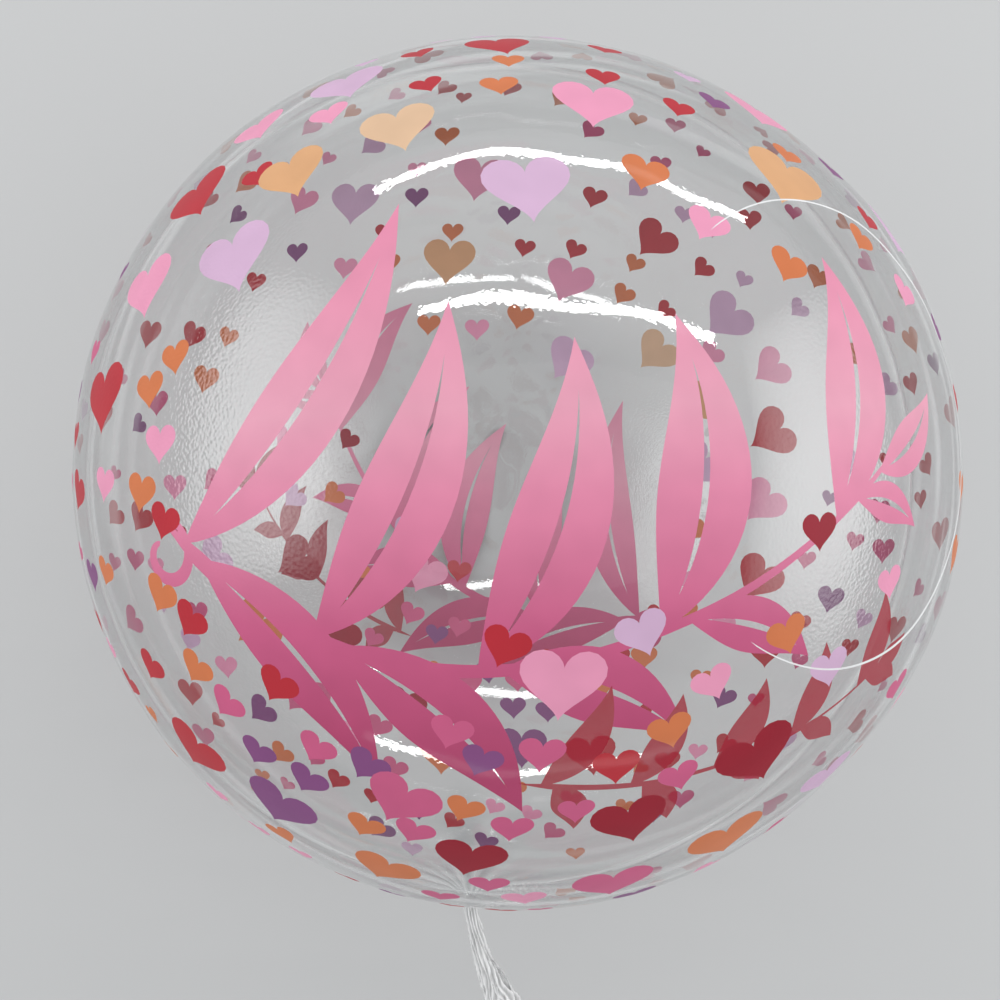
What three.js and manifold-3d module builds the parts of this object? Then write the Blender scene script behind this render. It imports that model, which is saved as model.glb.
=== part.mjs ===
// Clear printed bubble balloon: two welded film discs, inflated to a ball with a gathered neck.
// Millimetres, +Z up. It lies on a small flat spot with its printed front up and its neck to -Y.
// The origin is the centre of the flat spot. The sealed ball is modelled as one solid.
import * as THREE from 'three';
import { mergeVertices } from 'three/addons/utils/BufferGeometryUtils.js';
import Module from 'manifold-3d';

// Ball
const BALL_RADIUS = 250;
const SPOT_RADIUS = 30;        // the flat spot that the ball rests on
const WIDTH_STRETCH = 1.004;   // film stretch across the neck axis
const LENGTH_STRETCH = 0.995;  // film stretch along the neck axis
const LOPSIDE = 0.012;         // share of the radius by which the ball swells to +X
const BALL_SIDES = 76;
const RINGS_PER_HALF = 19;

// Weld: the thin ridge round the ball where the two discs join
const WELD_HEIGHT = 1.2;
const WELD_HALF_WIDTH = 1.5;

// Blister: the stretched patch of the printed front, towards +X
const BLISTER_HEIGHT = 0.018;  // share of the radius
const BLISTER_LON = 44;        // degrees from +Z towards +X
const BLISTER_LAT = 5;         // degrees towards +Y
const BLISTER_WIDE = 34;       // degrees, half its width
const BLISTER_TALL = 38;       // degrees, half its height
const BLISTER_EDGE = 8;        // higher is steeper

// Neck: radial pleats that run into the gathered waist
const PLEATS = 14;
const SIDES_PER_PLEAT = 3;
const SKIRT_RADIUS = 52;
const SKIRT_SINK = 2.5;        // how far the skirt's edge lies under the ball's surface
const SKIRT_PLEAT = 2.4;       // a pleat's height from valley to ridge, where it is deepest
const SKIRT_RINGS = 8;
const SKIRT_CROWDING = 1.6;    // above 1 its rings crowd towards the waist
const CONE_HEIGHT = 9;         // how far the gathered film stands out at the waist
const CONE_SPREAD = 11;        // how far from the waist it has fallen to a third
const WAIST_RADIUS = 3.4;

// Tail: the gathered end of the film, two strands from the fork on
const TAIL_LENGTH = 110;
const TAIL_SIDE = 42;          // how far its end leans to +X
const TAIL_BEND = 1.15;        // above 1 it leans more and more
const TAIL_DROOP = 24;         // how far its end hangs below the waist
const TAIL_RINGS = 15;
const TAIL_GROOVE = 0.13;      // depth of its grooves, as a share of its half width
// Half widths and half depths, evenly spaced from the waist to the end
const TAIL_WIDTHS = [3.4, 3.7, 5.8, 6.3, 6.5, 7.6, 9.4, 11.5];
const TAIL_DEPTHS = [3.4, 3.4, 3.7, 3.4, 3.0, 2.8, 2.7, 2.5];
const FORK_START = 32;         // from the waist
const FORK_LENGTH = 62;
const FORK_SIDE = 15;          // how far the fork ends away from the tail
const FORK_RINGS = 9;
const FORK_SIDES = 20;
const FORK_GROOVES = 5;
const FORK_WIDTHS = [2.6, 4.4, 6.4, 8.4, 8.8, 5.2];
const FORK_DEPTHS = [2.4, 2.6, 2.7, 2.8, 2.6, 1.8];

const MERGE_GAP = 1e-3;        // points nearer than this are one point

const CENTRE_Z = Math.sqrt(BALL_RADIUS ** 2 - SPOT_RADIUS ** 2);
const WAIST_Y = -BALL_RADIUS * LENGTH_STRETCH - CONE_HEIGHT;

const wasm = await Module();
wasm.setup();

function toSolid(geometry) {
  const bare = geometry.clone();
  bare.deleteAttribute('normal');
  bare.deleteAttribute('uv');
  const merged = mergeVertices(bare, MERGE_GAP);
  const vertProperties = new Float32Array(merged.attributes.position.array);
  const triVerts = new Uint32Array(merged.index.array);
  return new wasm.Manifold(new wasm.Mesh({ numProp: 3, vertProperties, triVerts }));
}

function toGeometry(solid) {
  const mesh = solid.getMesh();
  const geometry = new THREE.BufferGeometry();
  geometry.setAttribute('position', new THREE.Float32BufferAttribute(mesh.vertProperties, 3));
  geometry.setIndex([...mesh.triVerts]);
  geometry.computeVertexNormals();
  return geometry;
}

// A value read along an evenly spaced list, t from 0 to 1
function readAlong(list, t) {
  const place = Math.min(Math.max(t, 0), 1) * (list.length - 1);
  const index = Math.min(Math.floor(place), list.length - 2);
  return THREE.MathUtils.lerp(list[index], list[index + 1], place - index);
}

// How far out the film stands in one direction, as a share of the radius
function swell(direction) {
  const lon = THREE.MathUtils.degToRad(BLISTER_LON);
  const lat = THREE.MathUtils.degToRad(BLISTER_LAT);
  const middle = new THREE.Vector3(
    Math.sin(lon) * Math.cos(lat), Math.sin(lat), Math.cos(lon) * Math.cos(lat));
  const east = new THREE.Vector3(0, 1, 0).cross(middle).normalize();
  const north = middle.clone().cross(east);
  const angle = THREE.MathUtils.radToDeg(middle.angleTo(direction));
  const across = direction.dot(east);
  const along = direction.dot(north);
  const turn = Math.atan2(along, across);
  const wide = angle * Math.cos(turn) / BLISTER_WIDE;
  const tall = angle * Math.sin(turn) / BLISTER_TALL;
  const blister = BLISTER_HEIGHT * Math.exp(-(Math.hypot(wide, tall) ** BLISTER_EDGE));
  return 1 + LOPSIDE * direction.x + blister;
}

// The profile of the ball from the flat spot over the weld to the top, for turning round +Z
function ballProfile() {
  const low = Math.asin(SPOT_RADIUS / BALL_RADIUS);
  const weld = WELD_HALF_WIDTH / BALL_RADIUS;
  const points = [new THREE.Vector2(0, 0)];
  for (let i = 0; i <= RINGS_PER_HALF; i += 1) {
    const angle = THREE.MathUtils.lerp(low, Math.PI / 2 - weld, i / RINGS_PER_HALF);
    points.push(new THREE.Vector2(
      BALL_RADIUS * Math.sin(angle), CENTRE_Z - BALL_RADIUS * Math.cos(angle)));
  }
  points.push(new THREE.Vector2(BALL_RADIUS + WELD_HEIGHT, CENTRE_Z));
  for (let i = RINGS_PER_HALF; i > 0; i -= 1) {
    const angle = (Math.PI / 2 - weld) * i / RINGS_PER_HALF;
    points.push(new THREE.Vector2(
      BALL_RADIUS * Math.sin(angle), CENTRE_Z + BALL_RADIUS * Math.cos(angle)));
  }
  points.push(new THREE.Vector2(0, CENTRE_Z + BALL_RADIUS));
  return points;
}

function ball() {
  const geometry = new THREE.LatheGeometry(ballProfile(), BALL_SIDES);
  geometry.rotateX(Math.PI / 2);
  const position = geometry.attributes.position;
  const point = new THREE.Vector3();
  for (let i = 0; i < position.count; i += 1) {
    point.fromBufferAttribute(position, i);
    const onSpot = point.z < MERGE_GAP;
    point.z -= CENTRE_Z;
    if (!onSpot) {
      point.multiplyScalar(swell(point.clone().normalize()));
    }
    point.x *= WIDTH_STRETCH;
    point.y *= LENGTH_STRETCH;
    point.z += CENTRE_Z;
    position.setXYZ(i, point.x, point.y, point.z);
  }
  return toSolid(geometry);
}

// A closed solid through a stack of rings that all have the same number of points
function loft(rings) {
  const sides = rings[0].length;
  const positions = [];
  const index = [];
  for (const ring of rings) {
    for (const point of ring) {
      positions.push(point.x, point.y, point.z);
    }
  }
  for (let i = 0; i < rings.length - 1; i += 1) {
    for (let j = 0; j < sides; j += 1) {
      const a = i * sides + j;
      const b = i * sides + (j + 1) % sides;
      index.push(a, b, a + sides);
      index.push(b, b + sides, a + sides);
    }
  }
  for (const end of [0, rings.length - 1]) {
    const middle = new THREE.Vector3();
    rings[end].forEach((point) => middle.addScaledVector(point, 1 / sides));
    const hub = positions.length / 3;
    positions.push(middle.x, middle.y, middle.z);
    for (let j = 0; j < sides; j += 1) {
      const a = end * sides + j;
      const b = end * sides + (j + 1) % sides;
      if (end === 0) index.push(b, a, hub);
      else index.push(a, b, hub);
    }
  }
  const geometry = new THREE.BufferGeometry();
  geometry.setAttribute('position', new THREE.Float32BufferAttribute(positions, 3));
  geometry.setIndex(index);
  return toSolid(geometry);
}

// One ring round the neck axis, where the pleats radiate over the ball
function skirtRing(radius) {
  const sides = PLEATS * SIDES_PER_PLEAT;
  const nearness = 1 - (radius - WAIST_RADIUS) / (SKIRT_RADIUS - WAIST_RADIUS);
  const surface = Math.sqrt(BALL_RADIUS ** 2 - radius ** 2) * LENGTH_STRETCH;
  const cone = CONE_HEIGHT * Math.exp(-(radius - WAIST_RADIUS) / CONE_SPREAD);
  const sink = SKIRT_SINK * (1 - nearness);
  const ring = [];
  for (let j = 0; j < sides; j += 1) {
    const turn = 2 * Math.PI * j / sides;
    const pleat = SKIRT_PLEAT / 2 * Math.sin(Math.PI * nearness) * Math.cos(PLEATS * turn);
    ring.push(new THREE.Vector3(
      radius * Math.cos(turn),
      -(surface + cone - sink + pleat),
      CENTRE_Z + radius * Math.sin(turn)));
  }
  return ring;
}

// The middle of the tail at t from 0, the waist, to 1, its end
function tailPoint(t) {
  return new THREE.Vector3(
    TAIL_SIDE * t ** TAIL_BEND, WAIST_Y - TAIL_LENGTH * t, CENTRE_Z - TAIL_DROOP * t * t);
}

// The middle of the forked strand at t from 0, inside the tail, to 1, its end
function forkPoint(t) {
  const point = tailPoint((FORK_START + FORK_LENGTH * t) / TAIL_LENGTH);
  point.x += FORK_SIDE * t;
  return point;
}

// One grooved oval ring across a strand
function strandRing(path, t, width, depth, sides, grooves) {
  const step = 1e-3;
  const along = path(Math.min(t + step, 1)).sub(path(Math.max(t - step, 0))).normalize();
  const across = new THREE.Vector3(0, 0, 1).cross(along).normalize();
  const up = new THREE.Vector3(0, 0, 1);
  const middle = path(t);
  const ring = [];
  for (let j = 0; j < sides; j += 1) {
    const turn = 2 * Math.PI * j / sides;
    const groove = 1 + TAIL_GROOVE * Math.cos(grooves * turn);
    ring.push(middle.clone()
      .addScaledVector(across, width * groove * Math.cos(turn))
      .addScaledVector(up, depth * groove * Math.sin(turn)));
  }
  return ring;
}

function neckAndTail() {
  const sides = PLEATS * SIDES_PER_PLEAT;
  const rings = [];
  for (let i = 0; i < SKIRT_RINGS; i += 1) {
    const share = (1 - i / SKIRT_RINGS) ** SKIRT_CROWDING;
    rings.push(skirtRing(THREE.MathUtils.lerp(WAIST_RADIUS, SKIRT_RADIUS, share)));
  }
  for (let i = 0; i <= TAIL_RINGS; i += 1) {
    const t = i / TAIL_RINGS;
    const width = readAlong(TAIL_WIDTHS, t);
    const depth = readAlong(TAIL_DEPTHS, t);
    rings.push(strandRing(tailPoint, t, width, depth, sides, PLEATS));
  }
  return loft(rings);
}

function fork() {
  const rings = [];
  for (let i = 0; i <= FORK_RINGS; i += 1) {
    const t = i / FORK_RINGS;
    const width = readAlong(FORK_WIDTHS, t);
    const depth = readAlong(FORK_DEPTHS, t);
    rings.push(strandRing(forkPoint, t, width, depth, FORK_SIDES, FORK_GROOVES));
  }
  return loft(rings);
}

const film = new THREE.MeshStandardMaterial({
  color: 0xe9eef0, roughness: 0.08, metalness: 0, transparent: true, opacity: 0.25,
});

const balloon = new THREE.Group();
const bubbleFilm = new THREE.Mesh(toGeometry(ball().add(neckAndTail()).add(fork())), film);
bubbleFilm.name = 'bubble_film';
balloon.add(bubbleFilm);

export default balloon;
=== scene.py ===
# Clear printed bubble balloon: the looks, in metres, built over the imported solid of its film.
import math
import random

import bpy
import numpy as np
from mathutils import Matrix, Vector, noise
from mathutils.geometry import delaunay_2d_cdt


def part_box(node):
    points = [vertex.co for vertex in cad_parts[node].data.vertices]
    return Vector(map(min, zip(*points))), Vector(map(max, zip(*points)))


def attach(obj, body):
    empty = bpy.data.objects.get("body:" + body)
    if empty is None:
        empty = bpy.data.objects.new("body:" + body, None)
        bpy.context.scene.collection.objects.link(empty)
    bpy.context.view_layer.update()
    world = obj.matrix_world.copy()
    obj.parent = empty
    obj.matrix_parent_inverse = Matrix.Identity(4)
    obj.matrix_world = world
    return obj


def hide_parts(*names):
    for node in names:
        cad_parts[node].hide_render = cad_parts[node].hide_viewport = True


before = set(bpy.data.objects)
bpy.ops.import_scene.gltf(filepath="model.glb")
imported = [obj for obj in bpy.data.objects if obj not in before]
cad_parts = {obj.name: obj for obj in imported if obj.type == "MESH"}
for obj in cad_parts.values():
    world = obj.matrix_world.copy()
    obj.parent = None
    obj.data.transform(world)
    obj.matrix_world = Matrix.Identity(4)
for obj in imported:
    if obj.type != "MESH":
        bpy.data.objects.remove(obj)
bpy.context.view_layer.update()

LOW, HIGH = (Vector(corner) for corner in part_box("bubble_film"))

# The ball, as in the CAD
SPOT_RADIUS = 0.030
HEIGHT = HIGH.z - LOW.z
RADIUS = (HEIGHT ** 2 + SPOT_RADIUS ** 2) / (2 * HEIGHT)
CENTRE_Z = HEIGHT - RADIUS
STRETCH = np.array([1.004, 0.995, 1.0])
LOPSIDE = 0.012
FILM_LIFT = 0.0003            # the film's flat spot above the floor
DISC_RADIUS = RADIUS * math.pi / 2

# The blister in the front film
BLISTER_HEIGHT = 0.018
BLISTER_LON = math.radians(44)
BLISTER_LAT = math.radians(5)
BLISTER_WIDE = math.radians(34)
BLISTER_TALL = math.radians(38)
BLISTER_EDGE = 8

# The thin bright line that runs round the blister on the front, open towards the middle
CREASE_LON = math.radians(32)
CREASE_LAT = math.radians(7)
CREASE_WIDE = math.radians(25.5)
CREASE_TALL = math.radians(24.5)
CREASE_TURNS = (math.radians(-118), math.radians(132))
CREASE_WIDTH = 0.0013
CREASE_WIDER = 1.3            # share by which it is wider towards +X

# The weld round the ball
WELD_HEIGHT = 0.0012
WELD_HALF_WIDTH = 0.0015

# The gathered neck: a low cone with a waist, and pleats that run into it
WAIST_RADIUS = 0.0034
CONE_HEIGHT = 0.009
CONE_SPREAD = 0.011
WAIST_Y = -RADIUS * STRETCH[1] - CONE_HEIGHT
PLEATS = 14
PLEAT_HEIGHT = 0.0017
PLEAT_START = 0.010           # over this distance from the waist they rise to their height
PLEAT_SHORTEST = 0.020        # how far from the axis they reach at least
PLEAT_LONGER = 0.022          # what the two long ones add to that
PLEAT_UNEVEN = 0.018          # what the others add at most
FINE_PLEAT_SHARE = 0.35       # height of the fine pleats between the main ones
FINE_PLEAT_REACH = 0.016
FAR_OFF = 10.0                # distance given to points on the far side from the neck

# The crumpled patch beside the neck: its distance and turn from it, and its size in both
CRUMPLE_REACH = 0.028
CRUMPLE_TURN = 0.35
CRUMPLE_LENGTH = 0.018
CRUMPLE_SPREAD = 0.42
CRUMPLE_HEIGHT = 0.00018

# The tail
TAIL_END = 0.005              # what the slanted end of the tail takes up
TAIL_LENGTH = WAIST_Y - LOW.y - TAIL_END
TAIL_SIDE = 0.042
TAIL_BEND = 1.15
TAIL_DROOP = 0.024
FORK_START = 0.032
FORK_LENGTH = 0.062
FORK_SIDE = 0.015
# Half widths and half depths, evenly spaced from start to end
TAIL_WIDTHS = [0.0042, 0.0046, 0.0058, 0.0063, 0.0065, 0.0076, 0.0094, 0.0115]
TAIL_DEPTHS = [0.0034, 0.0034, 0.0037, 0.0034, 0.0030, 0.0028, 0.0027, 0.0025]
FORK_WIDTHS = [0.0026, 0.0044, 0.0064, 0.0084, 0.0088, 0.0052]
FORK_DEPTHS = [0.0024, 0.0026, 0.0027, 0.0028, 0.0026, 0.0018]

# The small loose fold beside the fork, in shares of the fork's length
FLAP_START = 0.02
FLAP_LENGTH = 0.40
FLAP_BOW = 0.0034             # how far it stands off the strand
FLAP_WIDTHS = [0.0005, 0.0006, 0.0007, 0.0006, 0.0004]
FLAP_DEPTHS = [0.0010, 0.0016, 0.0019, 0.0016, 0.0010]

# How the pleats of a strand of the tail wind along it, and how far out its film stands
STRAND_TWIST = 0.9
STRAND_STRAY = 0.36
STRAND_OUT = 0.84
STRAND_RIDGE = 0.14           # what a ridge adds and a valley takes away
STRAND_CRUSH = 0.17           # what the random crumples add or take away

# Slow waves in the stretched film: how many fit round the ball, and their height
WAVE_COUNTS = [9, 13, 16, 21, 27, 34]
WAVE_HEIGHT = 0.00010
WAVE_SEED = 11

# Meshing of the film
GRID_STEP = 0.0060
RIM_POINTS = 420
RIM_GAP = 0.6                 # closest that two points of the weld lie, in half steps
RIM_NECK_POINTS = 9           # extra points of the weld on each side of the neck
RIM_NECK_GROWTH = 1.5         # each one lies this much further out than the last
NECK_ZONE = 0.085             # radius of the finer mesh round the neck
NECK_STEP = 0.0030
NECK_GROWTH = 1.055           # each ring of the finer mesh is this much wider than the last
FOLD_ZONE = 1.4 * NECK_ZONE   # beyond it the neck's folds have died out
MERGE_GAP = 2e-6              # points of the weld closer than this are one

# The camera, from the middle of the ball
CAMERA_DISTANCE = 2.8         # in ball radii
CAMERA_YAW = math.radians(-5.48)
CAMERA_PITCH = math.radians(-1.27)
CAMERA_ROLL = math.radians(5.08)
CAMERA_AIM = (-0.0041, -0.0146)   # the point it looks at, right and up of the middle
CAMERA_LENS = 41.5

# Rows of hearts round each disc: the share of its radius, the first and last clock angle in
# degrees, and the inks in order. A capital letter marks a large heart.
HEART_ROWS = [
    (0.66, -56, 88, "Red Pink Lilac red Red red lilac Pink purple Lilac purple red orange"),
    (0.56, -50, 60, "red pink red orange red purple orange red pink"),
    (0.49, -60, 48, "Lilac Peach Cream orange Pink red Peach orange"),
    (0.34, -9, 44, "Lilac orange pink orange"),
    (0.63, 289, 226, "Pink Red pink orange red Red"),
    (0.50, 284, 234, "orange orange pink orange red orange red orange"),
    (0.43, 226, 163, "red rose purple Rose orange rose rose Crimson"),
    (0.51, 229, 184, "rose purple purple orange rose Crimson"),
    (0.60, 212, 116, "Purple Orange rose Rose Orange Lilac rose"),
    (0.33, 200, 150, "rose purple rose red orange"),
    (0.21, 195, 150, "red Pink lilac"),
    (0.41, 155, 104, "rose Crimson lilac pink"),
    (0.30, 138, 98, "pink orange crimson"),
]
LARGE_HEART = 0.042
SMALL_HEART = 0.0205
HEART_SPREAD = 0.13           # share by which the sizes differ
HEART_TILT = math.radians(30)
HEART_TURN = 0.12             # random turn either way on top of that, in radians
ROW_WANDER = 0.018            # how far hearts stray from their row, in shares of the radius
ROW_ZIGZAG = (0.4, 1.2)       # every other heart lies out or in by this much of the wander
ROW_SEED = 5

# Small loose hearts towards the weld
SCATTER_BAND = (0.64, 0.965)  # in shares of the radius
SCATTER_COUNT = 110
SCATTER_WIDTHS = (0.015, 0.030)
SCATTER_INKS = ["red", "pink", "orange", "lilac", "rose", "purple", "red", "rose"]
SCATTER_SEED = 7
SCATTER_TILT = 0.5            # largest turn either way, in radians
SCATTER_GAP = 0.006           # least gap between hearts, in shares of the radius
BARE_NECK = 0.16              # no loose heart lies closer to the neck than this share

# The two leafy sprigs in the middle, in shares of the disc's radius and degrees: the stem's start,
# bend and end, and the first and last leaf's length and angle to the stem on each side of it
PINK_SPRIG = {
    "ink": "sprig", "seed": 3, "leaves": 5, "leaf_width": 0.100, "vein_width": 0.007,
    "stem": ((-0.475, -0.10), (-0.06, -0.42), (0.40, 0.06)), "stem_width": 0.024,
    "upper": {"lengths": (0.47, 0.29), "angles": (97, 50)},
    "lower": {"lengths": (0.34, 0.12), "angles": (-14, -55)},
}
CRIMSON_SPRIG = {
    "ink": "wash", "seed": 3, "leaves": 5, "leaf_width": 0.044, "vein_width": 0.0,
    "stem": ((-0.01, -0.365), (0.25, -0.385), (0.45, -0.20)), "stem_width": 0.010,
    "upper": {"lengths": (0.15, 0.12), "angles": (72, 48)},
    "lower": {"lengths": (0.08, 0.07), "angles": (-60, -45)},
}
LEAF_BEND = 0.10
LEAF_LAG = 0.03               # how much further along the stem each lower leaf starts
LEAF_TURN = 5                 # leaves stray this many degrees from their angle
LEAF_STRAY = 0.08             # and this share from their length
TIP_LEAF = 0.55               # the leaf at the stem's end, in lengths of the last upper leaf
FULL_LEAF = 0.55              # leaves this share as long as the first upper one are fully wide
VEIN_ENDS = (0.12, 0.86)      # where a leaf's clear vein starts and stops
TENDRIL_WIDTH = 0.018
TENDRIL_REACHES = (0.050, 0.016)
TENDRIL_TURNS = (100, -240)   # in degrees
BACK_PRINT_TURN = math.radians(20)

INKS = {
    "pink": (0.76, 0.30, 0.45), "rose": (0.56, 0.10, 0.22), "red": (0.45, 0.022, 0.035),
    "crimson": (0.29, 0.007, 0.022), "orange": (0.60, 0.175, 0.065), "peach": (0.66, 0.36, 0.18),
    "cream": (0.67, 0.45, 0.29), "lilac": (0.60, 0.40, 0.57), "purple": (0.22, 0.065, 0.20),
}
WASH_INK = (0.34, 0.012, 0.030)
SPRIG_INKS_AND_HIGHLIGHT = [                # from the foot of the print to its top; the palest stop is a painted highlight band
    (0.00, (0.41, 0.050, 0.135)), (0.25, (0.55, 0.105, 0.225)), (0.48, (0.71, 0.235, 0.365)),
    (0.62, (0.74, 0.33, 0.435)), (0.80, (0.73, 0.28, 0.40)), (1.00, (0.71, 0.24, 0.37)),
]
INSIDE_PAINTED_SHADE = 0.14          # painted shade: share by which ink is darker where it is seen from inside

# What the clear film lets through where it is seen square on and along its surface, the
# latter also used as painted shade between the neck's pleats, its whitish mist, and what the
# many layers of the tail let through
FILM_TINT = (0.975, 0.980, 0.978, 1)
FILM_EDGE_TINT_AND_PAINTED_SHADE = (0.30, 0.32, 0.325, 1)
MIST_COLOUR = (0.90, 0.91, 0.91, 1)
TAIL_TINT = (0.93, 0.94, 0.94, 1)
RIM_SHADE = 0.64              # how far the film takes its edge tint at the rim of the ball
PAINTED_VALLEY_SHADE = 0.85           # painted shade: how far the film takes its edge tint between the neck's pleats
STREAK_MIST = 0.70            # how misty the streaks are at the rim
GATHER_MIST = 0.95            # and the tops of the neck's pleats

# The leathery grain and the drawn-out streaks of the film
GRAIN_SCALE = 620.0
GRAIN_HEIGHT = 0.00022
INK_GRAIN_HEIGHT = 0.00008
GRAIN_PATCHES = 6.5           # noise scale of the patches that it comes in
GRAIN_START = 0.32            # how far towards +X or -X it starts, in ball radii
GRAIN_RISE = 0.25             # and over how much further it grows to its full strength
STREAK_ROUND = 1.3            # noise scale of the streaks round the print
STREAK_ACROSS = 42            # and across them
STREAK_SHIFT = 9              # sets the streaks of the two discs apart

# The stage
FLOOR_HALF = 60.0
FLOOR_COLOUR = (0.52, 0.525, 0.525, 1)
SKY_COLOUR = (0.92, 0.94, 0.96, 1)
SKY_STRENGTH = 0.60
PANEL_FADE = 0.8              # how softly the light of a fading panel falls off to its edges
PANEL_GAIN = 16.0


# ---------------------------------------------------------------- the shape of the film

def directions(disc, side):
    """Unit directions from the ball's middle for points on a flat printed disc."""
    reach = np.hypot(disc[:, 0], disc[:, 1])
    polar = reach * math.pi / 2
    turn = np.arctan2(disc[:, 0], disc[:, 1])
    flat = np.sin(polar)
    return np.stack([side * flat * np.sin(turn), flat * np.cos(turn), side * np.cos(polar)], 1)


def disc_places(direction, side):
    """The place on the flat disc of each unit direction."""
    reach = np.arccos(np.clip(side * direction[:, 2], -1, 1)) / (math.pi / 2)
    turn = np.arctan2(side * direction[:, 0], direction[:, 1])
    return np.stack([reach * np.sin(turn), reach * np.cos(turn)], 1)


def frame_at(lon, lat):
    """The direction at a longitude from +Z to +X and a latitude, and its east and north."""
    middle = np.array([math.sin(lon) * math.cos(lat), math.sin(lat),
                       math.cos(lon) * math.cos(lat)])
    east = np.cross([0.0, 1.0, 0.0], middle)
    east /= np.linalg.norm(east)
    return middle, east, np.cross(middle, east)


def swell(direction):
    """How far out the film stands, as a share of the radius."""
    middle, east, north = frame_at(BLISTER_LON, BLISTER_LAT)
    angle = np.arccos(np.clip(direction @ middle, -1, 1))
    turn = np.arctan2(direction @ north, direction @ east)
    reach = np.hypot(angle * np.cos(turn) / BLISTER_WIDE, angle * np.sin(turn) / BLISTER_TALL)
    blister = BLISTER_HEIGHT * np.exp(-np.minimum(reach, 3) ** BLISTER_EDGE)
    return 1 + LOPSIDE * direction[:, 0] + blister


def neck_polar(direction):
    """Distance from the neck's axis and turn round it, for directions on the neck's side."""
    across = RADIUS * direction[:, 0]
    up = RADIUS * direction[:, 2]
    reach = np.where(direction[:, 1] < 0, np.hypot(across, up), FAR_OFF)
    return reach, np.arctan2(up, across)


def pleat_ridges(turn):
    """The main and fine pleats round the neck, from -1 in a valley to 1 on a ridge."""
    wander = turn + 0.10 * np.sin(3 * turn + 0.8) + 0.05 * np.sin(5 * turn)
    main = 1 - 2 * np.abs(np.sin(PLEATS / 2 * wander)) ** 0.7
    fine = 1 - 2 * np.abs(np.sin(PLEATS * wander + 0.9)) ** 0.8
    return main, fine


def pleat_length(turn):
    """How far the pleats reach: two long ones run up the front, the others differ a little."""
    long_ones = np.maximum(0, np.sin(2 * turn - 0.5 * math.pi)) ** 6
    others = (0.5 + 0.5 * np.sin(4 * turn + 1.1)) ** 2
    return PLEAT_SHORTEST + PLEAT_LONGER * long_ones + PLEAT_UNEVEN * others


def pleat_height(reach, turn):
    """Radial pleats that run into the waist."""
    main, fine = pleat_ridges(turn)
    rise = np.clip((reach - WAIST_RADIUS) / PLEAT_START, 0, 1)
    main = PLEAT_HEIGHT * main * np.exp(-(reach / pleat_length(turn)) ** 1.6)
    fine = FINE_PLEAT_SHARE * PLEAT_HEIGHT * fine * np.exp(-(reach / FINE_PLEAT_REACH) ** 2)
    return rise * (main + fine)


def crumple(reach, turn):
    """The crumpled patch beside the neck, towards +X and on the front: its share and ripples."""
    patch = np.exp(-((reach - CRUMPLE_REACH) / CRUMPLE_LENGTH) ** 2)
    patch = patch * np.exp(-((turn - CRUMPLE_TURN) / CRUMPLE_SPREAD) ** 2)
    ripple = np.sin(reach * 900 + 4.0 * np.sin(turn * 7)) + np.sin(reach * 1500 + turn * 23)
    return patch, ripple


def gather(reach, turn):
    """How white the gathered film round the neck is, and its painted fold shade, each from 0 to 1.
    """
    main = pleat_ridges(turn)[0]
    near = np.exp(-(reach / (1.15 * pleat_length(turn))) ** 1.4)
    patch, ripple = crumple(reach, turn)
    white = near * (0.15 + 0.85 * np.clip(0.5 + 0.5 * main, 0, 1) ** 2)
    white = white + 0.9 * patch * np.clip(0.25 + 0.45 * ripple, 0, 1)
    # painted shade in the valleys of the pleats and the troughs of the crumpled patch
    painted_fold_shade = near * np.clip(-main, 0, 1) + 0.6 * patch * np.clip(-0.2 - 0.5 * ripple, 0, 1)
    return np.clip(white, 0, 1), np.clip(painted_fold_shade, 0, 1)


def waves(direction):
    """Slow unevenness of the stretched film, always inward."""
    draw = random.Random(WAVE_SEED)
    total = np.zeros(len(direction))
    for count in WAVE_COUNTS:
        axis = np.array([draw.gauss(0, 1) for _ in range(3)])
        axis /= np.linalg.norm(axis)
        total += np.sin(count * (direction @ axis) + draw.uniform(0, 6.28)) - 1
    return WAVE_HEIGHT * total


def film_points(direction):
    """Where the film lies in each unit direction."""
    out = RADIUS * swell(direction) + waves(direction)
    from_weld = RADIUS * np.abs(np.arcsin(np.clip(direction[:, 2], -1, 1)))
    out = out + WELD_HEIGHT * np.clip(1 - from_weld / WELD_HALF_WIDTH, 0, 1)
    points = direction * out[:, None] * STRETCH
    reach, turn = neck_polar(direction)
    cone = CONE_HEIGHT * np.exp(-(np.maximum(reach, WAIST_RADIUS) - WAIST_RADIUS) / CONE_SPREAD)
    patch, ripple = crumple(reach, turn)
    folds = pleat_height(reach, turn) + CRUMPLE_HEIGHT * patch * ripple
    push = np.where(reach < FOLD_ZONE, cone + folds, 0.0)
    points[:, 1] -= push
    points[:, 2] = np.maximum(points[:, 2] + CENTRE_Z, FILM_LIFT)
    return points


def film_normals(direction, step=1e-3):
    """Outward normals of the film, from small steps along it."""
    side = np.where(np.abs(direction[:, 1:2]) < 0.9, [[0.0, 1.0, 0.0]], [[0.0, 0.0, 1.0]])
    first = np.cross(side, direction)
    first /= np.linalg.norm(first, axis=1)[:, None]
    second = np.cross(direction, first)

    def slope(tangent):
        ahead = direction + step * tangent
        behind = direction - step * tangent
        ahead /= np.linalg.norm(ahead, axis=1)[:, None]
        behind /= np.linalg.norm(behind, axis=1)[:, None]
        return film_points(ahead) - film_points(behind)

    normal = np.cross(slope(first), slope(second))
    length = np.linalg.norm(normal, axis=1)[:, None]
    normal = np.where(length > 1e-12, normal / np.maximum(length, 1e-12), direction)
    return normal * np.sign(np.sum(normal * direction, axis=1))[:, None]


# ---------------------------------------------------------------- the print's outlines

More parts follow.
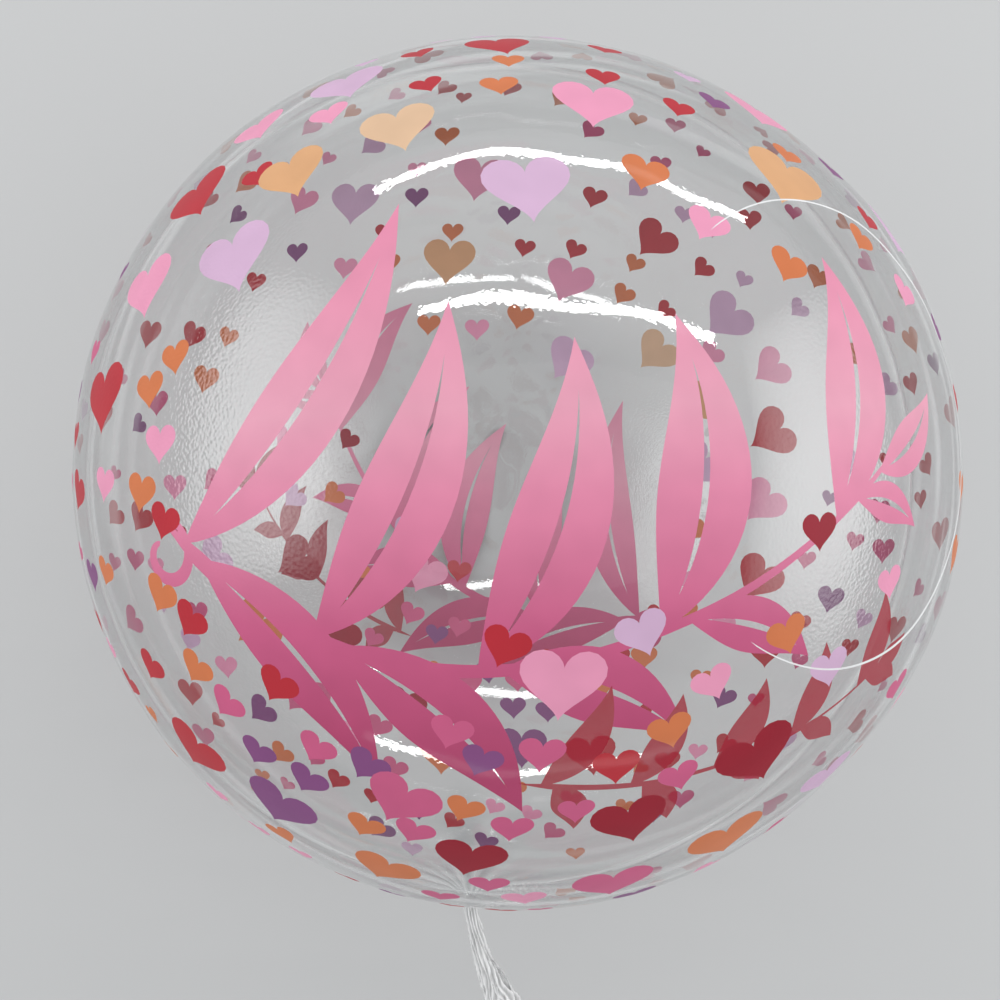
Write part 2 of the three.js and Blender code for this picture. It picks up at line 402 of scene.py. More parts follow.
def heart_outline(centre, width, tilt, points=34):
    """A plump heart with its point down, turned by tilt."""
    turn = np.linspace(0, 2 * math.pi, points, endpoint=False)
    across = np.sin(turn) ** 3
    up = (13 * np.cos(turn) - 5 * np.cos(2 * turn) - 2 * np.cos(3 * turn) - np.cos(4 * turn)) / 16
    cosine = math.cos(tilt)
    sine = math.sin(tilt)
    shape = np.stack([across * cosine - up * sine, across * sine + up * cosine], 1)
    return np.asarray(centre) + shape * width / 2


def stroke_outline(middle, half):
    """The outline of a stroke with this middle line and half width."""
    along = np.gradient(middle, axis=0)
    along /= np.linalg.norm(along, axis=1)[:, None]
    side = np.stack([-along[:, 1], along[:, 0]], 1)
    left = middle + side * half[:, None]
    right = middle - side * half[:, None]
    return np.concatenate([left, right[-2:0:-1]])


def bezier(points, t):
    """Places on a curve with a start, a bend and an end."""
    start, bend, end = (np.asarray(point) for point in points)
    t = np.asarray(t)[..., None]
    return (1 - t) ** 2 * start + 2 * t * (1 - t) * bend + t * t * end


def between(pair, share):
    """The value at this share of the way from the pair's first to its second."""
    return pair[0] + (pair[1] - pair[0]) * share


def leaf_outline(base, angle, length, width, bend, start=0.0, stop=1.0, steps=24):
    """A leaf on a bent middle line, pointed at both ends; start and stop cut it to a vein."""
    along = length * np.array([math.cos(angle), math.sin(angle)])
    side = np.array([-along[1], along[0]])
    t = np.linspace(start, stop, steps)
    middle = base + t[:, None] * along + (4 * bend * t * (1 - t))[:, None] * side
    share = (t - start) / (stop - start)
    half = width / 2 * np.sin(math.pi * share ** 0.85) ** 1.05
    return stroke_outline(middle, half)


def stem_outline(stem, width, steps=40):
    """A stem that thins towards its end."""
    t = np.linspace(0, 1, steps)
    half = width / 2 * (1 - 0.75 * t) * np.minimum(1, 12 * t + 0.05)
    return stroke_outline(bezier(stem, t), half)


def tendril_outline(start, steps=40):
    """A curl that winds in from a stem's start, thin at both ends."""
    share = np.linspace(0, 1, steps)
    turn = np.radians(between(TENDRIL_TURNS, share))
    reach = between(TENDRIL_REACHES, share)
    middle = np.asarray(start) - reach[0] * np.array([math.cos(turn[0]), math.sin(turn[0])])
    line = middle + reach[:, None] * np.stack([np.cos(turn), np.sin(turn)], 1)
    half = TENDRIL_WIDTH / 2 * (0.3 + 0.7 * np.sin(math.pi * share))
    return stroke_outline(line, half)


def sprig_leaves(sprig):
    """The base, angle, length and bend of the leaves on both sides of a stem and at its end."""
    draw = random.Random(sprig["seed"])
    stem = sprig["stem"]
    leaves = []
    for i in range(sprig["leaves"]):
        share = i / (sprig["leaves"] - 1)
        for row, lag in (("upper", 0.0), ("lower", LEAF_LAG)):
            t = 0.05 + 0.85 * share + lag
            base = bezier(stem, t)
            ahead = bezier(stem, t + 0.01) - base
            stray = draw.uniform(-LEAF_TURN, LEAF_TURN)
            angle = math.radians(between(sprig[row]["angles"], share) + stray)
            length = between(sprig[row]["lengths"], share)
            length *= draw.uniform(1 - LEAF_STRAY, 1 + LEAF_STRAY)
            bend = -math.copysign(LEAF_BEND, angle)
            leaves.append((base, math.atan2(ahead[1], ahead[0]) + angle, length, bend))
    tip = bezier(stem, 0.97)
    ahead = bezier(stem, 1.0) - tip
    end_length = TIP_LEAF * sprig["upper"]["lengths"][1]
    leaves.append((tip, math.atan2(ahead[1], ahead[0]), end_length, -LEAF_BEND))
    return leaves


def sprig_shapes(sprig):
    """The outlines of a stem and its leaves, each leaf with a clear vein where it has one."""
    shapes = [(stem_outline(sprig["stem"], sprig["stem_width"]), sprig["ink"])]
    for base, angle, length, bend in sprig_leaves(sprig):
        full = min(1, length / (FULL_LEAF * sprig["upper"]["lengths"][0]))
        width = sprig["leaf_width"] * full
        shapes.append((leaf_outline(base, angle, length, width, bend), sprig["ink"]))
        if sprig["vein_width"]:
            vein = leaf_outline(base, angle, length, sprig["vein_width"], bend, *VEIN_ENDS, 16)
            shapes.append((vein, "film"))
    return shapes


def crease_outline(steps=110):
    """The thin bright line round the blister, as a stroke on the flat disc."""
    middle, east, north = frame_at(CREASE_LON, CREASE_LAT)
    turn = np.linspace(*CREASE_TURNS, steps)
    angle = 1 / np.hypot(np.cos(turn) / CREASE_WIDE, np.sin(turn) / CREASE_TALL)
    ray = np.cos(turn)[:, None] * east + np.sin(turn)[:, None] * north
    line = disc_places(np.cos(angle)[:, None] * middle + np.sin(angle)[:, None] * ray, 1)
    fade = np.sin(np.linspace(0, math.pi, steps)) ** 0.4
    wider = 1 + CREASE_WIDER * np.clip(np.cos(turn), 0, 1)
    return stroke_outline(line, CREASE_WIDTH / 2 / DISC_RADIUS * (0.15 + 0.85 * fade) * wider)


def turned(outline, angle):
    """The outline turned round the disc's middle."""
    cosine = math.cos(angle)
    sine = math.sin(angle)
    return outline @ np.array([[cosine, sine], [-sine, cosine]])


def clock_place(clock, reach):
    """The place on the disc at a clock angle, which starts at the top, and a reach."""
    return reach * np.array([math.sin(clock), math.cos(clock)])


def rows_of_hearts():
    """The hearts of the rows as (place, width, tilt, ink), the tops of most turned outward."""
    draw = random.Random(ROW_SEED)
    hearts = []
    for reach, first, last, inks in HEART_ROWS:
        names = inks.split()
        for i, name in enumerate(names):
            clock = math.radians(between((first, last), i / (len(names) - 1)))
            clock += draw.uniform(-1, 1) * ROW_WANDER / reach
            place = clock_place(clock, reach - (-1) ** i * ROW_WANDER * draw.uniform(*ROW_ZIGZAG))
            size = LARGE_HEART if name[0].isupper() else SMALL_HEART
            width = size * draw.uniform(1 - HEART_SPREAD, 1 + HEART_SPREAD) / DISC_RADIUS
            tilt = -HEART_TILT * math.sin(2 * clock) + draw.uniform(-HEART_TURN, HEART_TURN)
            hearts.append((place, width, tilt, name.lower()))
    return hearts


def scattered_hearts(taken):
    """Small loose hearts towards the weld, clear of each other and of the rows."""
    draw = random.Random(SCATTER_SEED)
    taken = [(place, width) for place, width, tilt, ink in taken]
    found = []
    while len(found) < SCATTER_COUNT:
        clock = draw.uniform(0, 2 * math.pi)
        place = clock_place(clock, draw.uniform(*SCATTER_BAND))
        width = draw.uniform(*SCATTER_WIDTHS) / DISC_RADIUS
        tilt = draw.uniform(-SCATTER_TILT, SCATTER_TILT)
        ink = draw.choice(SCATTER_INKS)
        off_neck = np.hypot(place[0], place[1] + 1) > BARE_NECK
        clear = all(np.hypot(*(place - spot)) > 0.55 * (width + size) + SCATTER_GAP
                    for spot, size in taken)
        if off_neck and clear:
            taken.append((place, width))
            found.append((place, width, tilt, ink))
    return found


def print_shapes(side):
    """All printed outlines on one disc with their inks, the ones on top last."""
    shapes = [(tendril_outline(PINK_SPRIG["stem"][0]), "sprig")]
    shapes += sprig_shapes(PINK_SPRIG) + sprig_shapes(CRIMSON_SPRIG)
    hearts = rows_of_hearts()
    for place, width, tilt, ink in hearts + scattered_hearts(hearts):
        shapes.append((heart_outline(place, width, tilt), ink))
    if side < 0:
        return [(turned(outline, BACK_PRINT_TURN), ink) for outline, ink in shapes]
    return shapes + [(crease_outline(), "crease")]


# ---------------------------------------------------------------- meshing the film

def inside(points, outline):
    """Which points lie inside a closed outline."""
    x, y = points[:, 0], points[:, 1]
    hits = np.zeros(len(points), bool)
    ends = np.roll(outline, -1, axis=0)
    for (ax, ay), (bx, by) in zip(outline, ends):
        if ay != by:
            crosses = (ay > y) != (by > y)
            hits ^= crosses & (x < (bx - ax) * (y - ay) / (by - ay) + ax)
    return hits


def rim_turns():
    """Where the weld's points lie, closer together beside the neck."""
    turn = np.linspace(0, 2 * math.pi, RIM_POINTS, endpoint=False)
    neck = [WAIST_RADIUS * RIM_NECK_GROWTH ** i for i in range(RIM_NECK_POINTS)]
    extra = [math.pi + sign * step / RADIUS for sign in (1, -1) for step in neck]
    gap = math.pi / RIM_POINTS * RIM_GAP
    kept = [t for t in turn if all(abs(t - e) > gap for e in extra)]
    kept = [t for t in kept if abs(t - math.pi) > WAIST_RADIUS / RADIUS]
    return np.sort(np.array(kept + extra))


def ring(reach, count, shift):
    """Evenly spread points round the disc's middle, turned by a share of their spacing."""
    turn = (np.arange(count) + shift) * 2 * math.pi / count
    return np.stack([reach * np.sin(turn), reach * np.cos(turn)], 1)


def neck_grid(side):
    """Points in rings round the neck, in the disc's own places."""
    places = []
    reach = WAIST_RADIUS
    while reach < NECK_ZONE:
        count = max(PLEATS * 8, 2 * int(math.pi * reach / NECK_STEP))
        turn = (np.arange(count) + 0.5) * 2 * math.pi / count
        across = reach * np.cos(turn) / RADIUS
        up = reach * np.sin(turn) / RADIUS
        back = -np.sqrt(1 - across ** 2 - up ** 2)
        keep = side * up * RADIUS > WELD_HALF_WIDTH * 1.3
        places.append(disc_places(np.stack([across, back, up], 1)[keep], side))
        reach *= NECK_GROWTH
    return np.concatenate(places)


def film_grid(side):
    """Evenly spread points over one disc, finer at the neck and at the weld."""
    step = GRID_STEP / DISC_RADIUS
    edge = 1 - WELD_HALF_WIDTH / DISC_RADIUS
    rows = [ring(0.0, 1, 0)]
    count = int(edge / step)
    for i in range(1, count):
        rows.append(ring(i * edge / count, max(6, round(2 * math.pi * i)), (i % 2) / 2))
    grid = np.concatenate(rows)
    reach = neck_polar(directions(grid, side))[0]
    grid = grid[reach > NECK_ZONE]
    turns = rim_turns()
    rim = np.stack([np.sin(turns), np.cos(turns)], 1)
    bands = [rim * edge, rim * (1 - 0.5 * (1 - edge)), rim]
    return np.concatenate([grid, neck_grid(side)] + bands)


def disc_mesh(side):
    """One printed disc: its places, triangles and the ink of each triangle."""
    shapes = print_shapes(side)
    grid = film_grid(side)
    places = [Vector(p) for p in grid]
    edges = []
    for outline, ink in shapes:
        first = len(places)
        places += [Vector(p) for p in outline]
        edges += [(first + i, first + (i + 1) % len(outline)) for i in range(len(outline))]
    solved = delaunay_2d_cdt(places, edges, [], 0, 1e-6, False)
    disc = np.array([list(p) for p in solved[0]])
    faces = np.array([list(f) for f in solved[2]])
    middle = disc[faces].mean(axis=1)
    inks = np.full(len(faces), "film", dtype=object)
    for outline, ink in shapes:
        low = outline.min(axis=0)
        high = outline.max(axis=0)
        near = np.flatnonzero(((middle > low) & (middle < high)).all(axis=1))
        inks[near[inside(middle[near], outline)]] = ink
    weld = np.hypot(middle[:, 0], middle[:, 1]) > 1 - WELD_HALF_WIDTH / DISC_RADIUS
    inks[weld] = "weld"
    reach = neck_polar(directions(middle, side))[0]
    open_waist = reach < WAIST_RADIUS * 0.98
    return disc, faces[~open_waist], inks[~open_waist]


def grain_patches(points):
    """Where the film has a leathery grain, from 0 to 1: in patches on its +X and -X sides."""
    patch = np.array([noise.noise(Vector(p) * GRAIN_PATCHES) for p in points])
    sideways = np.clip((np.abs(points[:, 0]) / RADIUS - GRAIN_START) / GRAIN_RISE, 0, 1)
    return np.clip(0.06 + sideways * (0.95 + 1.6 * patch), 0, 1)


def streak_places(places):
    """Places that stretch a noise into long streaks round the print, others on each disc."""
    reach = np.hypot(places[:, 0], places[:, 1])
    turn = np.arctan2(places[:, 0], places[:, 1])
    return np.stack([STREAK_ROUND * np.sin(turn), STREAK_ROUND * np.cos(turn),
                     STREAK_ACROSS * reach + STREAK_SHIFT * places[:, 2]], 1)


def film_arrays():
    """Both discs blown up and joined: points, faces, inks, places on the print and normals."""
    points, faces, inks, places, normals = [], [], [], [], []
    for side in (1, -1):
        disc, triangles, colours = disc_mesh(side)
        direction = directions(disc, side)
        faces.append(triangles + sum(len(p) for p in points))
        points.append(film_points(direction))
        normals.append(film_normals(direction))
        inks.append(colours)
        places.append(np.column_stack([disc, np.full(len(disc), float(side))]))
    points, faces, inks, places, normals = (
        np.concatenate(parts) for parts in (points, faces, inks, places, normals))

    # the two discs share the points of the weld
    key = np.round(points / MERGE_GAP).astype(np.int64)
    first, inverse = np.unique(key, axis=0, return_index=True, return_inverse=True)[1:]
    faces = inverse.reshape(-1)[faces]
    points, places, normals = points[first], places[first], normals[first]
    whole = np.all(faces != np.roll(faces, 1, axis=1), axis=1)
    faces, inks = faces[whole], inks[whole]

    # every face looks outward
    corner = points[faces]
    facing = np.cross(corner[:, 1] - corner[:, 0], corner[:, 2] - corner[:, 0])
    outward = corner.mean(axis=1) - np.array([0.0, 0.0, CENTRE_Z])
    wrong = np.sum(facing * outward, axis=1) < 0
    faces[wrong] = faces[wrong][:, ::-1]
    return points, faces, inks, places, normals


def store(mesh, name, values):
    """Keep a number or a place for each point of the mesh, for its material to read."""
    values = np.asarray(values, float)
    if values.ndim == 2:
        mesh.attributes.new(name, "FLOAT_VECTOR", "POINT").data.foreach_set("vector", values.ravel())
    else:
        mesh.attributes.new(name, "FLOAT", "POINT").data.foreach_set("value", values)


def new_object(name, data):
    """An object that is in the scene."""
    thing = bpy.data.objects.new(name, data)
    bpy.context.scene.collection.objects.link(thing)
    return thing


def film_ball(materials):
    """The whole printed ball as one mesh."""
    points, faces, inks, places, normals = film_arrays()
    names = list(materials)
    mesh = bpy.data.meshes.new("film_ball")
    mesh.from_pydata(points.tolist(), [], faces.tolist())
    for name in names:
        mesh.materials.append(materials[name])
    mesh.polygons.foreach_set("material_index", [names.index(ink) for ink in inks])
    mesh.polygons.foreach_set("use_smooth", [True] * len(faces))
    white, painted_fold_shade = gather(*neck_polar((points - [0, 0, CENTRE_Z]) / RADIUS))
    store(mesh, "disc", places)
    store(mesh, "gather", white)
    # the valley attribute holds the painted shade between the neck's pleats
    store(mesh, "valley", painted_fold_shade)
    store(mesh, "grain", grain_patches(points))
    store(mesh, "streak", streak_places(places))
    mesh.update()
    mesh.normals_split_custom_set_from_vertices(normals.tolist())
    return new_object("film_ball", mesh)


# ---------------------------------------------------------------- the tail

def read_along(values, t):
    """The value at t from a list of evenly spaced ones."""
    place = min(max(t, 0.0), 1.0) * (len(values) - 1)
    index = min(int(place), len(values) - 2)
    return values[index] + (values[index + 1] - values[index]) * (place - index)


def tail_point(t):
    """The middle line of the tail, which drifts to +X and droops to the floor side."""
    return Vector((TAIL_SIDE * max(t, 0) ** TAIL_BEND, WAIST_Y - TAIL_LENGTH * t,
                   CENTRE_Z - TAIL_DROOP * t * t))


def fork_point(t):
    """The middle line of the second strand, which leaves the tail beside the neck."""
    point = tail_point((FORK_START + FORK_LENGTH * t) / TAIL_LENGTH)
    point.x += FORK_SIDE * t
    return point


def flap_point(t):
    """A loose fold that bows out from the fork's outer edge and comes back to it."""
    share = FLAP_START + FLAP_LENGTH * t
    point = fork_point(share)
    point.x += 0.8 * read_along(FORK_WIDTHS, share) + FLAP_BOW * math.sin(math.pi * t) ** 0.8
    return point


def square_to(path, t):
    """Two directions square to a path: across it, and up from it."""
    along = (path(min(t + 0.01, 1.0)) - path(max(t - 0.01, 0.0))).normalized()
    across = Vector((0, 0, 1)).cross(along).normalized()
    up = along.cross(across)
    return across, -up if up.z < 0 else up


def crumpled_ring(t, sides, pleats, seed):
    """Round a strand at t: each point's turn, how far out it stands and how high on a pleat."""
    twist = STRAND_TWIST * noise.noise(Vector((t * 4, seed, 0)))
    for j in range(sides):
        turn = 2 * math.pi * j / sides
        stray = STRAND_STRAY * noise.noise(Vector((t * 7, seed, math.cos(turn) * 2)))
        fold = turn + twist + stray
        ridge = 1 - 2 * abs(math.sin(pleats / 2 * fold)) ** 0.8
        crush = noise.noise(Vector((math.cos(turn) * 3, math.sin(turn) * 3, t * 16 + seed)))
        yield turn, STRAND_OUT + STRAND_RIDGE * ridge + STRAND_CRUSH * crush, 0.5 + 0.5 * ridge


def tube_faces(rows, sides):
    """The faces of a closed tube of rings."""
    faces = []
    for i in range(rows - 1):
        for j in range(sides):
            a = i * sides + j
            b = i * sides + (j + 1) % sides
            faces.append((a, b, b + sides, a + sides))
    faces.append(tuple(range(sides))[::-1])
    faces.append(tuple((rows - 1) * sides + j for j in range(sides)))
    return faces


def strand(name, path, widths, depths, pleats, seed, rows=110):
    """A closed bundle of crumpled film, creased along its length, round a path."""
    sides = pleats * 8
    vertices = []
    ridges = []
    for i in range(rows):
        t = i / (rows - 1)
        middle = path(t)
        across, up = square_to(path, t)
        width = read_along(widths, t)
        depth = read_along(depths, t)
        for turn, out, ridge in crumpled_ring(t, sides, pleats, seed):
            ridges.append(ridge)
            vertices.append(middle + across * (width * out * math.cos(turn))
                            + up * (depth * out * math.sin(turn)))
    mesh = bpy.data.meshes.new(name)
    mesh.from_pydata(vertices, [], tube_faces(rows, sides))
    store(mesh, "ridge", ridges)
    mesh.polygons.foreach_set("use_smooth", [True] * len(mesh.polygons))
    return new_object(name, mesh)


# ---------------------------------------------------------------- materials

def new_material(name):
    """An empty material and its node tree."""
    material = bpy.data.materials.new(name)
    material.use_nodes = True
    material.node_tree.nodes.clear()
    return material, material.node_tree


def add(tree, kind, **values):
    """A node with its inputs set, by name or as i0, i1 and so on; sockets become links."""
    node = tree.nodes.new(kind)
    for key, value in values.items():
        numbered = key[0] == "i" and key[1:].isdigit()
        socket = node.inputs[int(key[1:]) if numbered else key]
        if isinstance(value, bpy.types.NodeSocket):
            tree.links.new(value, socket)
        else:
            socket.default_value = value
    return node


def maths(tree, operation, first, second=0.5, clamp=False):
    """The result of a sum, of numbers or sockets."""
    node = add(tree, "ShaderNodeMath", i0=first, i1=second)
    node.operation = operation
    node.use_clamp = clamp
    return node.outputs[0]


def noise_value(tree, scale, detail=2.0, stretch=None):
    """Noise in the object's own places, from 0 to 1."""
    place = add(tree, "ShaderNodeTexCoord").outputs["Object"]
    if stretch:
        place = add(tree, "ShaderNodeMapping", Vector=place, Scale=stretch).outputs[0]
    node = add(tree, "ShaderNodeTexNoise", Vector=place, Scale=scale, Detail=detail)
    return node.outputs["Fac"]


def finish_material(tree, shader):
    """Make this shader the surface of the material."""
    output = tree.nodes.new("ShaderNodeOutputMaterial")
    tree.links.new(shader, output.inputs["Surface"])


def edge_share(tree):
    """0 where the film is seen square on, 1 where it is seen along its surface."""
    node = add(tree, "ShaderNodeLayerWeight", Blend=0.5)
    return node.outputs["Facing"]


def attribute(tree, name, output="Fac"):
    """What store() kept under this name."""
    node = add(tree, "ShaderNodeAttribute")
    node.attribute_name = name
    return node.outputs[output]


def scaled(tree, value, factor, offset=0.0, clamp=False):
    """value times factor plus offset."""
    socket = maths(tree, "MULTIPLY_ADD", value, factor, clamp)
    socket.node.inputs[2].default_value = offset
    return socket


def film_bump(tree, height=GRAIN_HEIGHT):
    """The fine leathery grain of the stretched film, in patches."""
    grain = maths(tree, "MULTIPLY", noise_value(tree, GRAIN_SCALE, 0.0), attribute(tree, "grain"))
    return add(tree, "ShaderNodeBump", Strength=1.0, Distance=height, Height=grain).outputs[0]


def film_streaks(tree):
    """Fine drawn-out streaks that run round the print, as a share from 0 to 1."""
    node = add(tree, "ShaderNodeTexNoise", Vector=attribute(tree, "streak", "Vector"),
               Scale=1.0, Detail=0.0)
    return scaled(tree, node.outputs["Fac"], 4.5, -2.2, True)


def clear_film(name, haze=-0.02, edge_haze=0.16, gloss=0.075):
    """Thin clear film: what is behind shows through, with gloss that grows towards the edge.

    A haze below zero keeps the film fully clear where it is seen square on.
    """
    material, tree = new_material(name)
    facing = edge_share(tree)
    bump = film_bump(tree)
    rim = maths(tree, "POWER", facing, 3.0)
    shine = scaled(tree, maths(tree, "POWER", facing, 5.0), 1.0 - gloss, gloss)
    mist = scaled(tree, maths(tree, "MULTIPLY", film_streaks(tree), rim), STREAK_MIST, haze)
    mist = maths(tree, "ADD", mist, scaled(tree, rim, edge_haze))
    mist = maths(tree, "ADD", mist, scaled(tree, attribute(tree, "gather"), GATHER_MIST), True)
    tint = tree.nodes.new("ShaderNodeMix")
    tint.data_type = "RGBA"
    # painted shade: the film lets less through between the neck's pleats
    valley = scaled(tree, attribute(tree, "valley"), PAINTED_VALLEY_SHADE)
    shade = maths(tree, "ADD", scaled(tree, rim, RIM_SHADE), valley, True)
    tree.links.new(shade, tint.inputs[0])
    tint.inputs[6].default_value = FILM_TINT
    tint.inputs[7].default_value = FILM_EDGE_TINT_AND_PAINTED_SHADE
    clear = add(tree, "ShaderNodeBsdfTransparent", Color=tint.outputs[2])
    white = add(tree, "ShaderNodeBsdfDiffuse", Color=MIST_COLOUR, Normal=bump)
    glossy = add(tree, "ShaderNodeBsdfGlossy", Color=(1, 1, 1, 1), Roughness=0.0, Normal=bump)
    body = add(tree, "ShaderNodeMixShader", i0=mist, i1=clear.outputs[0], i2=white.outputs[0])
    whole = add(tree, "ShaderNodeMixShader", i0=shine, i1=body.outputs[0], i2=glossy.outputs[0])
    finish_material(tree, whole.outputs[0])
    return material


def printed(name, colour, colour_node=None, see=0.0):
    """Matte ink on the film, with painted shade that makes it a little darker where it is seen from
    inside.
    """
    material, tree = new_material(name)
    shade = scaled(tree, noise_value(tree, 60.0, 1.0), 0.16, 0.92)
    # painted shade on the side of the ink that is seen from inside the ball
    painted_shade_side = add(tree, "ShaderNodeNewGeometry").outputs["Backfacing"]
    strength = maths(tree, "MULTIPLY", shade, scaled(tree, painted_shade_side, -INSIDE_PAINTED_SHADE, 1.0))
    paint = tree.nodes.new("ShaderNodeVectorMath")
    paint.operation = "SCALE"
    if colour_node:
        tree.links.new(colour_node(tree), paint.inputs[0])
    else:
        paint.inputs[0].default_value = colour
    tree.links.new(strength, paint.inputs["Scale"])
    shader = add(tree, "ShaderNodeBsdfPrincipled")
    tree.links.new(paint.outputs[0], shader.inputs["Base Color"])
    shader.inputs["Roughness"].default_value = 0.55
    shader.inputs["Specular IOR Level"].default_value = 0.20
    shader.inputs["Coat Weight"].default_value = 0.08
    shader.inputs["Coat Roughness"].default_value = 0.08
    shader.inputs["Alpha"].default_value = 1.0 - see
    tree.links.new(film_bump(tree, INK_GRAIN_HEIGHT), shader.inputs["Normal"])
    finish_material(tree, shader.outputs[0])
    return material


def sprig_colour(tree):
    """Pale pink at the top of the print, running into deep rose at its foot; its palest band is a
    painted highlight.
    """
    parts = add(tree, "ShaderNodeSeparateXYZ", Vector=attribute(tree, "disc", "Vector"))
    height = scaled(tree, parts.outputs["Y"], 1.55, 0.52)
    height = maths(tree, "ADD", height, scaled(tree, parts.outputs["X"], -0.18))
    ramp = tree.nodes.new("ShaderNodeValToRGB")
    tree.links.new(height, ramp.inputs[0])
    while len(ramp.color_ramp.elements) < len(SPRIG_INKS_AND_HIGHLIGHT):
        ramp.color_ramp.elements.new(0.5)
    for element, (position, colour) in zip(ramp.color_ramp.elements, SPRIG_INKS_AND_HIGHLIGHT):
        element.position = position
        element.color = (*colour, 1)
    return ramp.outputs[0]


def gathered_film(name):
    """The crumpled film of the tail: many layers, so whitish, with clearer grooves and painted shade
    in them.
    """
    material, tree = new_material(name)
    streaks = noise_value(tree, 420.0, 3.0, (1.0, 0.10, 1.0))
    ridge = attribute(tree, "ridge")
    solid = maths(tree, "ADD", scaled(tree, ridge, 0.35, 0.62), scaled(tree, streaks, 0.4), True)
    # painted shade: darker colour in the grooves and lighter on the ridges, with streaks of random
    # tone
    shade = maths(tree, "ADD", scaled(tree, ridge, 0.42, 0.30), scaled(tree, streaks, 0.50), True)
    paint = add(tree, "ShaderNodeCombineColor", i0=shade, i1=shade, i2=shade)
    clear = add(tree, "ShaderNodeBsdfTransparent", Color=TAIL_TINT)
    bump = add(tree, "ShaderNodeBump", Strength=0.8, Distance=0.0005, Height=streaks)
    film = add(tree, "ShaderNodeBsdfPrincipled", Roughness=0.25, Normal=bump.outputs[0])
    tree.links.new(paint.outputs[0], film.inputs["Base Color"])
    film.inputs["Coat Weight"].default_value = 0.9
    film.inputs["Coat Roughness"].default_value = 0.06
    whole = add(tree, "ShaderNodeMixShader", i0=solid, i1=clear.outputs[0], i2=film.outputs[0])
    finish_material(tree, whole.outputs[0])
    return material


def film_materials():
    """The clear film, its weld and crease, and every ink, by the names in print_shapes()."""
    materials = {
        "film": clear_film("clear_film"),
        "weld": clear_film("weld_film", haze=0.42, edge_haze=0.25, gloss=0.16),
        "crease": clear_film("crease_film", haze=0.88, edge_haze=0.12, gloss=0.16),
        "sprig": printed("ink_sprig", None, sprig_colour),
        "wash": printed("ink_wash", WASH_INK, see=0.12),
    }
    for name, colour in INKS.items():
        materials[name] = printed(f"ink_{name}", colour)
    return materials


# ---------------------------------------------------------------- stage

def floor():
    """A plain pale floor that runs to the horizon."""
    mesh = bpy.data.meshes.new("floor")
    corners = [(-1, -1), (1, -1), (1, 1), (-1, 1)]
    mesh.from_pydata([(x * FLOOR_HALF, y * FLOOR_HALF, 0) for x, y in corners], [], [(0, 1, 2, 3)])
    material, tree = new_material("floor_paint")
    paint = add(tree, "ShaderNodeBsdfDiffuse", Color=FLOOR_COLOUR)
    finish_material(tree, paint.outputs[0])
    mesh.materials.append(material)
    new_object("floor", mesh)


def fade_edges(data):
    """Let a panel's light fade from its middle to its edges."""
    data.use_nodes = True
    tree = data.node_tree
    parametric = add(tree, "ShaderNodeNewGeometry").outputs["Parametric"]
    parts = add(tree, "ShaderNodeSeparateXYZ", Vector=parametric)
    shares = []
    for axis in ("X", "Y"):
        across = parts.outputs[axis]
        shares.append(maths(tree, "MULTIPLY", across, maths(tree, "SUBTRACT", 1.0, across)))
    fade = maths(tree, "POWER", maths(tree, "MULTIPLY", *shares), PANEL_FADE)
    strength = scaled(tree, fade, PANEL_GAIN)
    tree.links.new(strength, tree.nodes["Emission"].inputs["Strength"])


def softbox(name, place, size, power, fades=False):
    """A lit panel that looks at the middle of the ball."""
    data = bpy.data.lights.new(name, "AREA")
    data.shape = "RECTANGLE"
    data.size, data.size_y = size
    data.energy = power
    if fades:
        fade_edges(data)
    lamp = new_object(name, data)
    lamp.location = place
    aim = Vector((0, 0, CENTRE_Z)) - Vector(place)
    lamp.rotation_euler = aim.to_track_quat("-Z", "Y").to_euler()
    lamp.visible_camera = False


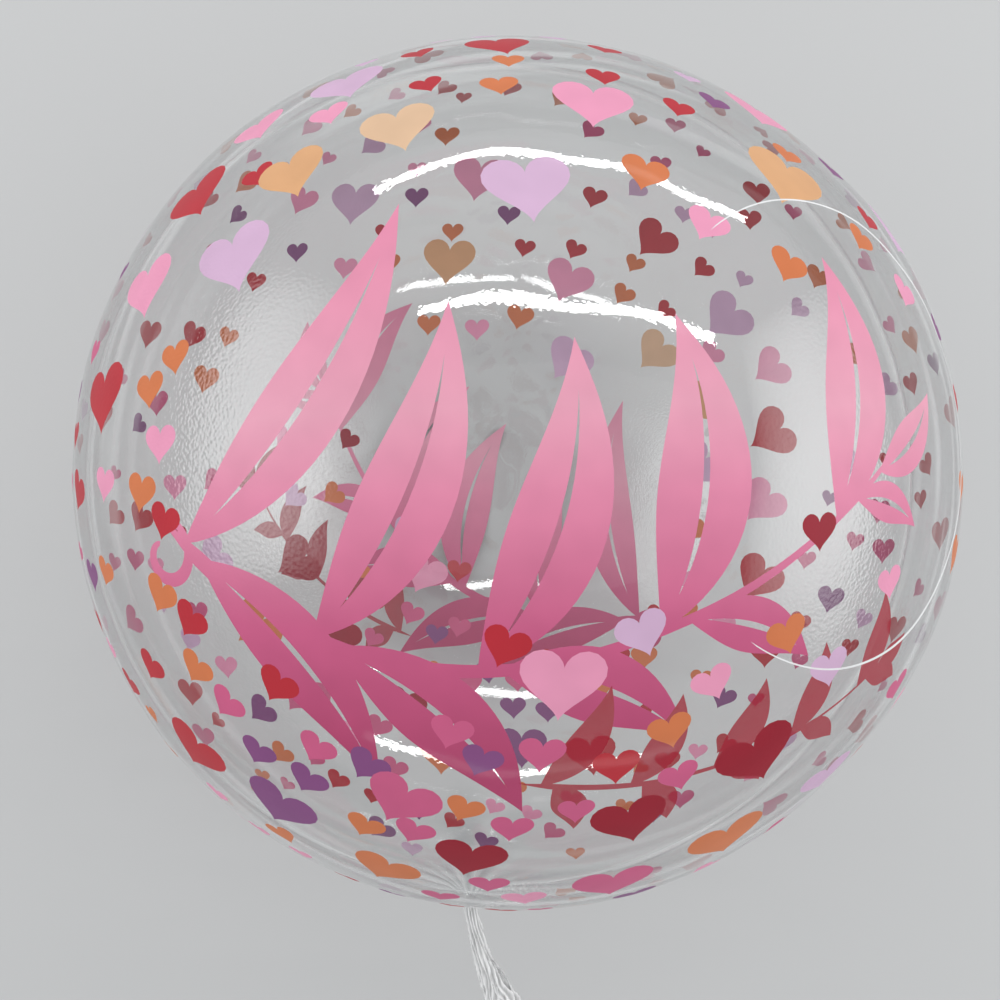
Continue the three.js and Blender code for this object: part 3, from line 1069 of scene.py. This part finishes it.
def lights():
    """Narrow strips for the long highlights, panels for the soft ones, and an even sky."""
    softbox("top_strip", (0.0, 2.1, 0.75), (2.6, 0.10), 10)
    softbox("high_strip", (0.0, 1.15, 1.75), (1.9, 0.09), 7.5)
    softbox("low_strip", (0.1, -1.9, 0.9), (2.2, 0.08), 6)
    softbox("left_panel", (-1.7, 0.15, 1.05), (2.3, 1.4), 16, fades=True)
    softbox("right_panel", (1.7, 0.15, 1.05), (2.4, 1.5), 17, fades=True)
    softbox("overhead", (0.0, 0.0, 2.9), (2.4, 2.4), 4)
    world = bpy.data.worlds.new("studio")
    world.use_nodes = True
    world.node_tree.nodes["Background"].inputs["Color"].default_value = SKY_COLOUR
    world.node_tree.nodes["Background"].inputs["Strength"].default_value = SKY_STRENGTH
    bpy.context.scene.world = world
    bpy.context.scene.view_settings.view_transform = "Standard"


def camera():
    """Look down on the lying balloon along the photo's line of sight."""
    data = bpy.data.cameras.new("camera")
    data.lens = CAMERA_LENS
    data.sensor_width = 36.0
    view = new_object("camera", data)
    away = Vector((math.sin(CAMERA_YAW) * math.cos(CAMERA_PITCH), math.sin(CAMERA_PITCH),
                   math.cos(CAMERA_YAW) * math.cos(CAMERA_PITCH)))
    middle = Vector((0, 0, CENTRE_Z))
    view.location = middle + away * CAMERA_DISTANCE * RADIUS
    right = (-away).cross(Vector((0, 1, 0))).normalized()
    up = right.cross(-away)
    cosine = math.cos(CAMERA_ROLL)
    sine = math.sin(CAMERA_ROLL)
    right, up = cosine * right + sine * up, cosine * up - sine * right
    target = middle + CAMERA_AIM[0] * right + CAMERA_AIM[1] * up
    back = (view.location - target).normalized()
    right = up.cross(back).normalized()
    up = back.cross(right)
    axes = Matrix((right, up, back)).transposed()
    view.rotation_euler = axes.to_euler()
    bpy.context.scene.camera = view


def light_paths():
    """Limit how often light bounces, so that the many layers of film render in time."""
    cycles = bpy.context.scene.cycles
    cycles.max_bounces = 6
    cycles.diffuse_bounces = 2
    cycles.glossy_bounces = 3
    cycles.transmission_bounces = 2
    cycles.transparent_max_bounces = 8
    cycles.caustics_reflective = False
    cycles.caustics_refractive = False


# ---------------------------------------------------------------- the scene

camera()
materials = film_materials()
ball = film_ball(materials)
tail_film = gathered_film("gathered_film")
tail = strand("tail_film", tail_point, TAIL_WIDTHS, TAIL_DEPTHS, 13, 2.0)
fork = strand("tail_fork", fork_point, FORK_WIDTHS, FORK_DEPTHS, 9, 5.0)
flap = strand("tail_flap", flap_point, FLAP_WIDTHS, FLAP_DEPTHS, 2, 8.0, rows=40)
for piece in (tail, fork, flap):
    piece.data.materials.append(tail_film)
for piece in (ball, tail, fork, flap):
    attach(piece, "root")
    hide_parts("bubble_film")

floor()
lights()
light_paths()
